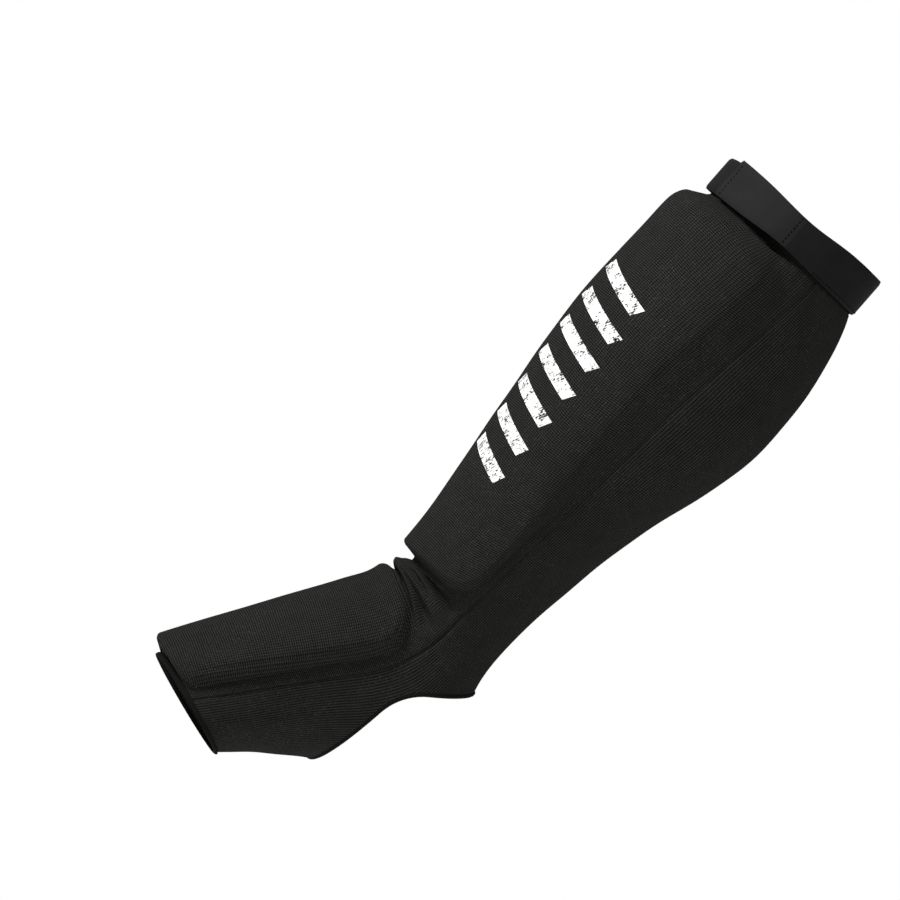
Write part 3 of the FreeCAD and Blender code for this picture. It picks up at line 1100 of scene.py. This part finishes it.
@dataclass
class Gusset:
    """The slack knit between the two pads, with folds that fan out from the front crease."""

    sleeve: Sleeve
    wardrobe: Wardrobe
    fan_x: float = 63.0
    fan_z: float = -283.5
    folds: Tuple[float, ...] = (35.5, 27.0, 17.0)
    widths: Tuple[float, ...] = (4.2, 3.9, 3.5)
    heights: Tuple[float, ...] = (7.0, 7.5, 5.5)
    swell: float = 8.5 * MM
    seam_groove: float = 1.6 * MM

    def lift(self, points: Array, sides: Array) -> Array:
        """How far the slack cloth stands up at points.

        Args:
            points: the points on the leg form.
            sides: above 0 on the wearer's left.

        Returns:
            The heights, in metres.
        """
        back = self.fan_x - points[..., 0] / MM
        down = self.fan_z - points[..., 2] / MM
        reach = np.hypot(back, down)
        angle = np.degrees(np.arctan2(down, back)) + np.where(sides > 0, 0.0, 1.6)
        envelope = smooth((reach - 19) / 10) * (1 - smooth((reach - 40) / 18))
        lift = np.zeros_like(reach)
        for fold, width, height in zip(self.folds, self.widths, self.heights):
            curl = fold + 2.4 * np.sin(reach / 16.0 + fold)
            lift += height * MM * (np.exp(-np.abs((angle - curl) / width) ** 2.4) - 0.3)
        return lift * envelope

    def build(self) -> List[bpy.types.Object]:
        """Make the gusset."""
        share = spread(-1.0, 1.0, 0.014, [(-0.8, 0.8, 1.15)])
        top = self.sleeve.cut(share, below_shin, 0.2, 0.36) - 1.5 * MM
        low = self.sleeve.cut(share, above_foot, 0.25, 0.42) + 1.5 * MM
        rows = np.linspace(0, 1, 74)
        station = top[None, :] + rows[:, None] * (low - top)[None, :]
        turn = self.sleeve.front_turn(station, share[None, :])
        base = 2.0 * MM
        ends = smooth(rows / 0.16)[:, None] * smooth((1 - rows) / 0.10)[:, None]
        bulge = self.swell * np.exp(-((turn / 0.75) ** 2)) * np.sin(rows * math.pi)[:, None] ** 0.8
        edge = (1 - np.abs(share[None, :])) * 60 * MM
        groove = np.exp(-((edge / self.seam_groove) ** 2)) * 1.0 * MM
        held = smooth(edge / (9 * MM))
        folds = self.lift(self.sleeve.form.point(station, turn, base), turn)
        offset = 2.3 * MM + folds * ends * held + bulge * held - groove
        walls = offset, offset - 1.1 * MM
        piece, outer = self.sleeve.layer(
            "ankle_gusset_knit", self.wardrobe.slack_knit, (station, turn), walls, base
        )
        bend_at_ankle(piece)
        return [enter(piece, ["ankle_gusset"])]


class HeelOpening:
    """The outline of the open heel seen from the side: two edges and a round between them."""

    START = np.array([-90.0, -287.0])
    CORNER = np.array([5.2, -349.2])
    FINISH = np.array([16.0, -445.0])
    ROUND = 35.0
    STRAIGHT_POINTS = 60
    ARC_POINTS = 22

    def edge(self, grown: float) -> Array:
        """The opening's edge from behind the ankle to under the arch.

        Args:
            grown: how far the edge is moved into the cloth, in millimetres.

        Returns:
            The points as x and z in metres.
        """
        before = self.START - self.CORNER
        after = self.FINISH - self.CORNER
        before /= np.linalg.norm(before)
        after /= np.linalg.norm(after)
        half = math.acos(float(before @ after)) / 2
        tangent = self.ROUND / math.tan(half)
        middle = before + after
        centre = self.CORNER + middle / np.linalg.norm(middle) * self.ROUND / math.sin(half)
        first = self.CORNER + before * tangent - centre
        last = self.CORNER + after * tangent - centre
        low, high = math.atan2(first[1], first[0]), math.atan2(last[1], last[0])
        turns = np.linspace(low, high, self.ARC_POINTS)
        reach = self.ROUND + grown
        arc = centre + reach * np.stack([np.cos(turns), np.sin(turns)], axis=1)
        out = arc - centre
        start = self.START + out[0] / np.linalg.norm(out[0]) * grown
        finish = self.FINISH + out[-1] / np.linalg.norm(out[-1]) * grown
        share = np.linspace(0, 1, self.STRAIGHT_POINTS)[:, None]
        head = start + (arc[0] - start) * share
        tail = arc[-1] + (finish - arc[-1]) * share
        return np.concatenate([head[:-1], arc, tail[1:]]) * MM

    def cut_out(self, mesh: bpy.types.Mesh, grown: float) -> None:
        """Remove what lies inside the opening from a mesh, with clean edges."""
        bm = bmesh.new()
        bm.from_mesh(mesh)
        first_bend = self.STRAIGHT_POINTS - 2
        edge = self.edge(grown)[first_bend : first_bend + self.ARC_POINTS + 3]
        inside = set(bm.faces)
        for first, second in zip(edge, edge[1:]):
            along = second - first
            normal = Vector((along[1], 0.0, -along[0])).normalized()
            spot = Vector((first[0], 0.0, first[1]))
            faces = [face for face in inside if face.is_valid]
            bits = set(faces)
            for face in faces:
                bits.update(face.edges)
                bits.update(face.verts)
            made = bmesh.ops.bisect_plane(
                bm, geom=list(bits), dist=1e-7, plane_co=spot, plane_no=normal
            )["geom"]
            pool = {item for item in made if isinstance(item, bmesh.types.BMFace)}
            pool |= {face for face in faces if face.is_valid}
            inside = {f for f in pool if (f.calc_center_median() - spot).dot(normal) > 0}
        bmesh.ops.delete(bm, geom=list(inside), context="FACES")
        rim = [item for item in bm.edges if item.is_boundary]
        bmesh.ops.bridge_loops(bm, edges=rim)
        bmesh.ops.recalc_face_normals(bm, faces=bm.faces[:])
        left_open = sum(item.is_boundary for item in bm.edges)
        LOG.info("heel opening: %s rim edges, %s left open", len(rim), left_open)
        bm.to_mesh(mesh)
        bm.free()


@dataclass
class SleeveBack:
    """The single knit behind the seams, from the cuff down to under the foot, with its hems."""

    sleeve: Sleeve
    wardrobe: Wardrobe
    opening: HeelOpening = field(default_factory=HeelOpening)
    outer: float = 1.5 * MM
    inner: float = 0.2 * MM
    uneven: float = 0.4 * MM

    def offset(self, station: Array, turn: Array, share: Array) -> Array:
        """How far the knit's outer face stands off the leg."""
        edge = (1 - np.abs(share)) * 90 * MM
        groove = np.exp(-((edge / (1.6 * MM)) ** 2)) * 0.5 * MM
        lift = np.exp(-(((edge - 4 * MM) / (3.5 * MM)) ** 2)) * 0.35 * MM
        tuck = (1 - smooth(station / (6 * MM))) * 0.3 * MM
        wave = ripple(station, turn, 2.0) * self.uneven + gathers(station, turn)
        return self.outer + wave - groove - tuck + lift

    def panel(self) -> bpy.types.Object:
        """Make the panel and cut the heel opening out of it."""
        share = spread(-1.0, 1.0, 0.023, [(-1.0, -0.88, 2.0), (0.88, 1.0, 2.0)])
        rows = np.linspace(0.0, self.sleeve.bottom, 210)
        station = np.repeat(rows[:, None], len(share), axis=1)
        turn = self.sleeve.back_turn(station, share[None, :])
        walls = self.offset(station, turn, share[None, :]), self.inner
        piece, outer = self.sleeve.layer(
            "sleeve_back_knit", self.wardrobe.sleeve_knit, (station, turn), walls, walls[0]
        )
        self.opening.cut_out(piece.data, 1.2)
        bend_at_ankle(piece)
        return enter(piece, ["calf_panel", "ankle_back", "foot_band"])

    def seam(self, side: int) -> bpy.types.Object:
        """Make the side seam of one side: 1 is the wearer's left, -1 the right."""
        station = np.linspace(0.0, self.sleeve.bottom, 260)
        turn = self.sleeve.seam_turn(station) * side
        line, far = (self.sleeve.form.point(station, turn, off * MM) for off in (1.15, 3.0))
        hand = "left" if side > 0 else "right"
        radii = (0.45 * MM, 0.5 * MM)
        piece = tube(f"side_seam_{hand}", self.wardrobe.seam_knit, line, far - line, radii, False)
        bend_at_ankle(piece)
        nodes = [f"{part}_seam_{hand}" for part in ("shin", "ankle", "foot")]
        return enter(piece, nodes)

    def heel_hem(self) -> bpy.types.Object:
        """Make the rolled hem round the heel opening."""
        edge = self.opening.edge(1.1)
        fine = np.linspace(0, len(edge) - 1, 900)
        x = np.interp(fine, np.arange(len(edge)), edge[:, 0])
        z = np.interp(fine, np.arange(len(edge)), edge[:, 1])
        form = self.sleeve.form
        station, ahead = form.locate(x, z, 1.0 * MM)
        inside = np.abs(ahead) < 1
        turn = np.arccos(ahead[inside])
        left, far = (form.point(station[inside], turn, off * MM) for off in (1.0, 3.0))
        sides = np.concatenate([left, far - left], axis=1)
        mirrored = sides[::-1] * np.array([1.0, -1.0, 1.0] * 2)
        ring = np.concatenate([sides, mirrored, sides[:1]])
        reach = np.linalg.norm(np.diff(ring[:, :3], axis=0), axis=1)
        reach = np.concatenate([[0.0], np.cumsum(reach)])
        even = np.linspace(0, reach[-1], 241)[:-1]
        ring = np.stack([np.interp(even, reach, column) for column in ring.T], 1)
        line, outward = ring[:, :3], ring[:, 3:]
        radii = (0.95 * MM, 1.5 * MM)
        piece = tube("heel_hem", self.wardrobe.hem_knit, line, outward, radii, True)
        bend_at_ankle(piece)
        return enter(piece, ["heel_hem_upper", "heel_hem_lower"])

    def toe_hem(self) -> bpy.types.Object:
        """Make the turned hem of the toe opening."""
        far = np.array([0.0, 0.35, 0.8, 1.5, 2.2, 2.7, 3.0])[:, None] * MM
        bead = np.sqrt(np.clip(1 - ((far - 1.6 * MM) / (1.75 * MM)) ** 2, 0, 1))
        walls = (1.3 * MM + 1.5 * MM * bead, 1.0 * MM - 0.8 * MM * bead)
        rows, turn = self.sleeve.bottom - 0.1 * MM + far, np.linspace(0, 2 * math.pi, 181)
        place = np.broadcast_arrays(rows, turn)
        piece, _ = self.sleeve.layer(
            "toe_opening_hem", self.wardrobe.hem_knit, place, walls, walls[0], closed=True
        )
        return enter(piece, ["toe_hem"], Body.FOOT)

    def build(self) -> List[bpy.types.Object]:
        """Make the panel, the two seams and the lower hems."""
        return [self.panel(), self.seam(1), self.seam(-1), self.heel_hem(), self.toe_hem()]


@dataclass(frozen=True)
class Strip:
    """One flat piece round the cuff, its span in degrees and its edges varying with them."""

    name: str
    node: str
    slot: Slot
    finish: bpy.types.Material
    span: Tuple[float, float]
    columns: int
    thick: float
    edges: Callable[[Array], Tuple[Array, Array]]
    radius: Callable[[Array], Union[Array, float]]
    body: Optional[Body] = None


@dataclass
class Cuff:
    """The cuff below the knee: knit hem, elastic band, loop patch, strap and tab."""

    wardrobe: Wardrobe
    inside: float = 53.6 * MM
    thick: float = 1.9 * MM
    half: float = 12.7 * MM
    patch_half: float = 11.0 * MM
    patch_thick: float = 1.1 * MM
    hook_radius: float = 56.9 * MM
    hem_radius: float = 52.0 * MM
    hem_thick: float = 1.3 * MM
    lift: float = 4.4 * MM
    hinge: float = 97.0
    tab_hinge: float = 77.0
    tab_end: float = 18.0
    lifted_at: float = 63.0
    overlap_end: float = 420.0
    root_stitches: float = 74.2
    end_stitches: float = 22.0
    thread_lift: float = 0.02 * MM

    def radius(self, degrees: Array) -> Array:
        """The strap's inner radius: it climbs over the band's overlap as it goes to the front."""
        share = (self.hinge - degrees) / (self.hinge - self.lifted_at)
        return self.inside + self.lift * smooth(share)

    def under_radius(self, degrees: Array) -> Array:
        """The band's inner radius: it bulges a little just before the tab's end."""
        return self.inside + 2.6 * MM * np.exp(-(((degrees - 349.0) / 15.0) ** 2))

    def band(self, strip: Strip, rows: int = 15) -> bpy.types.Object:
        """Make a flat piece round the cuff's axis, with rounded edges."""
        degrees = np.linspace(*strip.span, strip.columns)
        low, high = strip.edges(degrees)
        share = np.linspace(1, 0, rows)[:, None]
        height = low + (high - low) * share
        round_off = np.sqrt(np.clip(1 - np.abs(2 * share - 1) ** 14, 0, 1))
        turn = np.radians(degrees)[None, :]
        middle = (strip.radius(degrees) + np.zeros_like(degrees))[None, :] + strip.thick / 2
        faces = []
        for sign in (1, -1):
            reach = middle + sign * strip.thick / 2 * (0.35 + 0.65 * round_off)
            faces.append(np.stack([reach * np.cos(turn), reach * np.sin(turn), height], axis=-1))
        flat = np.stack(np.broadcast_arrays(turn * self.inside, height), axis=-1)
        piece = shell(strip.name, strip.finish, faces[0], faces[1], flat)
        return enter(piece, [strip.node], strip.body)

    def drawn(self, degrees: Array) -> Array:
        """How much the free strap's pull narrows what is sewn to it, from 0 to 1."""
        return np.exp(-(((np.mod(degrees, 360.0) - 77.0) / 25.0) ** 2))

    def full(self, degrees: Array) -> Tuple[Array, Array]:
        """The band's edges, slightly uneven."""
        wave = 0.12 * MM * np.sin(np.radians(degrees) * 7)
        drawn = self.drawn(degrees)
        under = np.exp(-(((degrees - 354.0) / 20.0) ** 2))
        low = wave - self.half + 2.0 * MM * drawn
        return low, wave * 0.6 + self.half - 2.6 * MM * drawn - 3.0 * MM * under

    def patch(self, degrees: Array) -> Tuple[Array, Array]:
        """A patch's edges."""
        drawn = self.drawn(degrees)
        return 1.4 * MM * drawn - self.patch_half, self.patch_half - 2.6 * MM * drawn

    def hem_edges(self, degrees: Array) -> Tuple[Array, Array]:
        """The knit hem's edges: high behind the sewn band, low and wavy under the free strap."""
        turn = np.mod(degrees, 360.0)
        free = smooth((turn - 12) / 8) * smooth((101 - turn) / 8)
        angle = np.radians(turn)
        wavy = 0.5 * MM * np.sin(angle * 13) + 0.3 * MM * np.sin(angle * 29)
        sag = strap_dip(angle)
        top = 3.0 * MM * (1 - free) + (-12.8 * MM + wavy - sag) * free
        return -15.6 * MM - sag, top

    def around(self, degrees: float, radius: float, tangent: float = 0.0) -> Vector:
        """A point at an angle on the cuff, moved along the strap by a distance."""
        turn = math.radians(degrees)
        out = Vector((math.cos(turn), math.sin(turn), 0.0))
        ahead = Vector((math.sin(turn), -math.cos(turn), 0.0))
        return out * radius + ahead * tangent

    def swing(
        self, piece: bpy.types.Object, bodies: Tuple[Body, Body], degrees: float, reach: float
    ) -> bpy.types.Object:
        """Bake a piece's placement into its mesh."""
        start, end = (self.around(degrees, reach, along * MM) for along in (-0.5, 6))
        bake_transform(piece)
        return piece

    def stitches(
        self,
        name: str,
        node: str,
        body: Body,
        spots: Sequence[Tuple[Vector, Vector]],
        length: float,
    ) -> bpy.types.Object:
        """Make a row of stitches.

        Args:
            name: the row's name.
            node: the CAD node it replaces.
            body: the body it rides on.
            spots: each stitch's middle and direction.
            length: a stitch's length.

        Returns:
            The row.
        """
        bm = bmesh.new()
        for middle, ahead in spots:
            out = Vector((middle.x, middle.y, 0.0)).normalized()
            side = ahead.cross(out)
            turned = Matrix((ahead * length / 2, side * 0.42 * MM, out * 0.22 * MM)).transposed()
            place = Matrix.Translation(middle) @ turned.to_4x4()
            bmesh.ops.create_icosphere(bm, subdivisions=2, radius=1.0, matrix=place)
        bmesh.ops.recalc_face_normals(bm, faces=bm.faces[:])
        layer = bm.loops.layers.uv.new("Knit")
        for face in bm.faces:
            for loop in face.loops:
                loop[layer].uv = (loop.vert.co.x + loop.vert.co.y, loop.vert.co.z)
        mesh = bpy.data.meshes.new(name)
        bm.to_mesh(mesh)
        bm.free()
        return enter(new_object(name, mesh, self.wardrobe.thread), [node], body)

    def stitches_round(self) -> bpy.types.Object:
        """Make the row that sews the band to the hem, near the band's lower edge."""
        spots = []
        for degrees in np.arange(101.0, 371.0, 2.9):
            middle = self.around(degrees, self.inside + self.thick + self.thread_lift)
            ahead = Vector((-middle.y, middle.x, 0.0)).normalized()
            middle.z = -self.half + 2.0 * MM
            spots.append((middle, ahead))
        return self.stitches("cuff_stitch_row", "cuff_stitching", Body.SHIN, spots, 2.2 * MM)

    def stitches_up(self, name: str, node: str, degrees: float) -> bpy.types.Object:
        """Make a row of stitches up the tab's width at an angle."""
        middle = self.around(
            degrees, float(self.radius(np.array(degrees))) + self.thick + self.thread_lift
        )
        low, high = self.full(np.array(degrees))
        heights = np.arange(low / MM + 2.0, high / MM - 1.4, 2.45)
        up = Vector((0.0, 0.0, 1.0))
        spots = [(middle + up * (height * MM), up) for height in heights]
        return self.stitches(name, node, Body.TAB, spots, 1.7 * MM)

    def build(self) -> List[bpy.types.Object]:
        """Make the whole cuff, the inner pieces first."""
        room, on_band = self.wardrobe, self.inside + self.thick
        hem = Strip(
            "cuff_knit_hem", "top_hem", Slot.HEM, room.hem_knit, (self.hinge - 360, self.hinge),
            200, self.hem_thick, self.hem_edges, lambda _: self.hem_radius, Body.SHIN,
        )
        sewn = Strip(
            "cuff_elastic_band", "cuff_band", Slot.ELASTIC, room.band_elastic,
            (self.hinge, self.overlap_end), 240, self.thick, self.full, self.under_radius,
            Body.SHIN,
        )
        loop = Strip(
            "loop_pile_patch", "loop_patch", Slot.LOOP, room.loop, (381.0, 419.0), 40,
            self.patch_thick, self.patch, lambda _: on_band, Body.SHIN,
        )
        strap = Strip(
            "free_strap", "strap_elastic", Slot.ELASTIC, room.band_elastic,
            (self.tab_hinge, self.hinge), 40, self.thick, self.full, self.radius,
        )
        tab = Strip(
            "strap_tab_end", "strap_tab", Slot.ELASTIC, room.tab_elastic,
            (self.tab_end, self.tab_hinge), 80, self.thick, self.full, self.radius,
        )
        hook = Strip(
            "hook_strip", "hook_patch", Slot.HOOK, room.hook, (21.0, 59.0), 40,
            self.patch_thick, self.patch, lambda _: self.hook_radius, Body.TAB,
        )
        pieces = [self.band(strip) for strip in (hem, sewn, loop)]
        pieces.append(self.stitches_round())
        on_shin, on_strap = (Body.SHIN, Body.STRAP), (Body.STRAP, Body.TAB)
        pieces.append(self.swing(self.band(strap), on_shin, self.hinge, on_band))
        pieces.append(self.swing(self.band(tab), on_strap, self.tab_hinge, on_band + self.lift))
        pieces.append(self.band(hook))
        pieces.append(self.stitches_up("tab_end_stitches", "tab_end_stitching", self.end_stitches))
        pieces.append(
            self.stitches_up("tab_root_stitches", "tab_root_stitching", self.root_stitches)
        )
        return pieces


@dataclass
class Studio:
    """The floor, the soft lights and the camera."""

    wardrobe: Wardrobe
    roll: float = 48.8
    swing: float = 12.0
    away: float = 7.0
    view: float = 0.522
    ambient: float = 0.42
    aim: Tuple[float, float] = (0.069, -0.225)
    sensor: float = 36.0
    floor_z: float = -1.2

    def level(self) -> Vector:
        """The horizontal direction across the view."""
        swing = math.radians(self.swing)
        return Vector((math.cos(swing), -math.sin(swing), 0.0))

    def frame_axes(self) -> Tuple[Vector, Vector, Vector]:
        """The camera's right, up and backward directions."""
        roll, level = math.radians(self.roll), self.level()
        back = Vector((-level.y, level.x, 0.0))
        upright = Vector((0.0, 0.0, 1.0))
        right = upright * math.cos(roll) - level * math.sin(roll)
        up = upright * math.sin(roll) + level * math.cos(roll)
        return right, up, back

    def camera(self) -> None:
        """Place the camera."""
        right, up, back = self.frame_axes()
        aim = self.level() * self.aim[0] + Vector((0.0, 0.0, self.aim[1]))
        data = bpy.data.cameras.new("camera")
        data.sensor_width = self.sensor
        data.lens = self.sensor * self.away / self.view
        data.clip_start, data.clip_end = 0.05, 50.0
        camera = bpy.data.objects.new("camera", data)
        bpy.context.scene.collection.objects.link(camera)
        turned = Matrix((right, up, back)).transposed().to_4x4()
        camera.matrix_world = Matrix.Translation(aim + back * self.away) @ turned
        bpy.context.scene.camera = camera

    def light(self, name: str, way: Vector, distance: float, size: float, power: float) -> None:
        """Place a large soft light that points at the guard."""
        data = bpy.data.lights.new(name, "AREA")
        data.energy, data.size = power, size
        lamp = bpy.data.objects.new(name, data)
        bpy.context.scene.collection.objects.link(lamp)
        lamp.location = Vector((0.03, 0.0, -0.22)) + way.normalized() * distance
        lamp.rotation_mode = "QUATERNION"
        lamp.rotation_quaternion = way.to_track_quat("Z", "Y")

    def build(self) -> None:
        """Make the studio."""
        right, up, back = self.frame_axes()
        self.camera()
        self.light("key", up * 1.0 + back * 0.5 - right * 0.35, 1.5, 0.5, 31.0)
        self.light("fill", back * 1.0 + right * 0.6 - up * 0.2, 1.8, 1.2, 11.0)
        self.light("rear", back * -1.0 + Vector((0, 0, 0.8)), 1.8, 1.2, 12.0)
        world = bpy.data.worlds.new("studio_world")
        bpy.context.scene.world = world
        world.use_nodes = True
        tree = world.node_tree
        background = tree.nodes["Background"]
        background.inputs["Color"].default_value = (1.0, 1.0, 1.0, 1.0)
        seen = Wire(tree, tree.nodes.new("ShaderNodeLightPath").outputs["Is Camera Ray"])
        strength = seen * (1.0 - self.ambient) + self.ambient
        tree.links.new(strength.socket, background.inputs["Strength"])
        bpy.context.scene.view_settings.view_transform = "Standard"
        bm = bmesh.new()
        bmesh.ops.create_grid(bm, x_segments=2, y_segments=2, size=2.2)
        bmesh.ops.translate(bm, verts=bm.verts[:], vec=(0.0, 0.0, self.floor_z))
        mesh = bpy.data.meshes.new("studio_floor")
        bm.to_mesh(mesh)
        bm.free()
        new_object("studio_floor", mesh, self.wardrobe.floor)


def main() -> None:
    """Build the guard and its studio, and report each piece."""
    logging.basicConfig(level=logging.INFO, format="%(message)s")
    wardrobe = Wardrobe()
    sleeve = Sleeve()
    shin = PaddedFront(sleeve, wardrobe, Part.SHIN, SHIN_PAD, Body.SHIN)
    instep = PaddedFront(sleeve, wardrobe, Part.INSTEP, INSTEP_PAD, Body.FOOT)
    makers = [
        shin,
        instep,
        ShinPrint(shin, wardrobe),
        Gusset(sleeve, wardrobe),
        SleeveBack(sleeve, wardrobe),
        Cuff(wardrobe),
    ]
    for maker in makers:
        for piece in maker.build():
            LOG.info("%s: %s faces", piece.name, len(piece.data.polygons))
    Studio(wardrobe).build()
    bpy.context.view_layer.update()


if __name__ == "__main__":
    main()
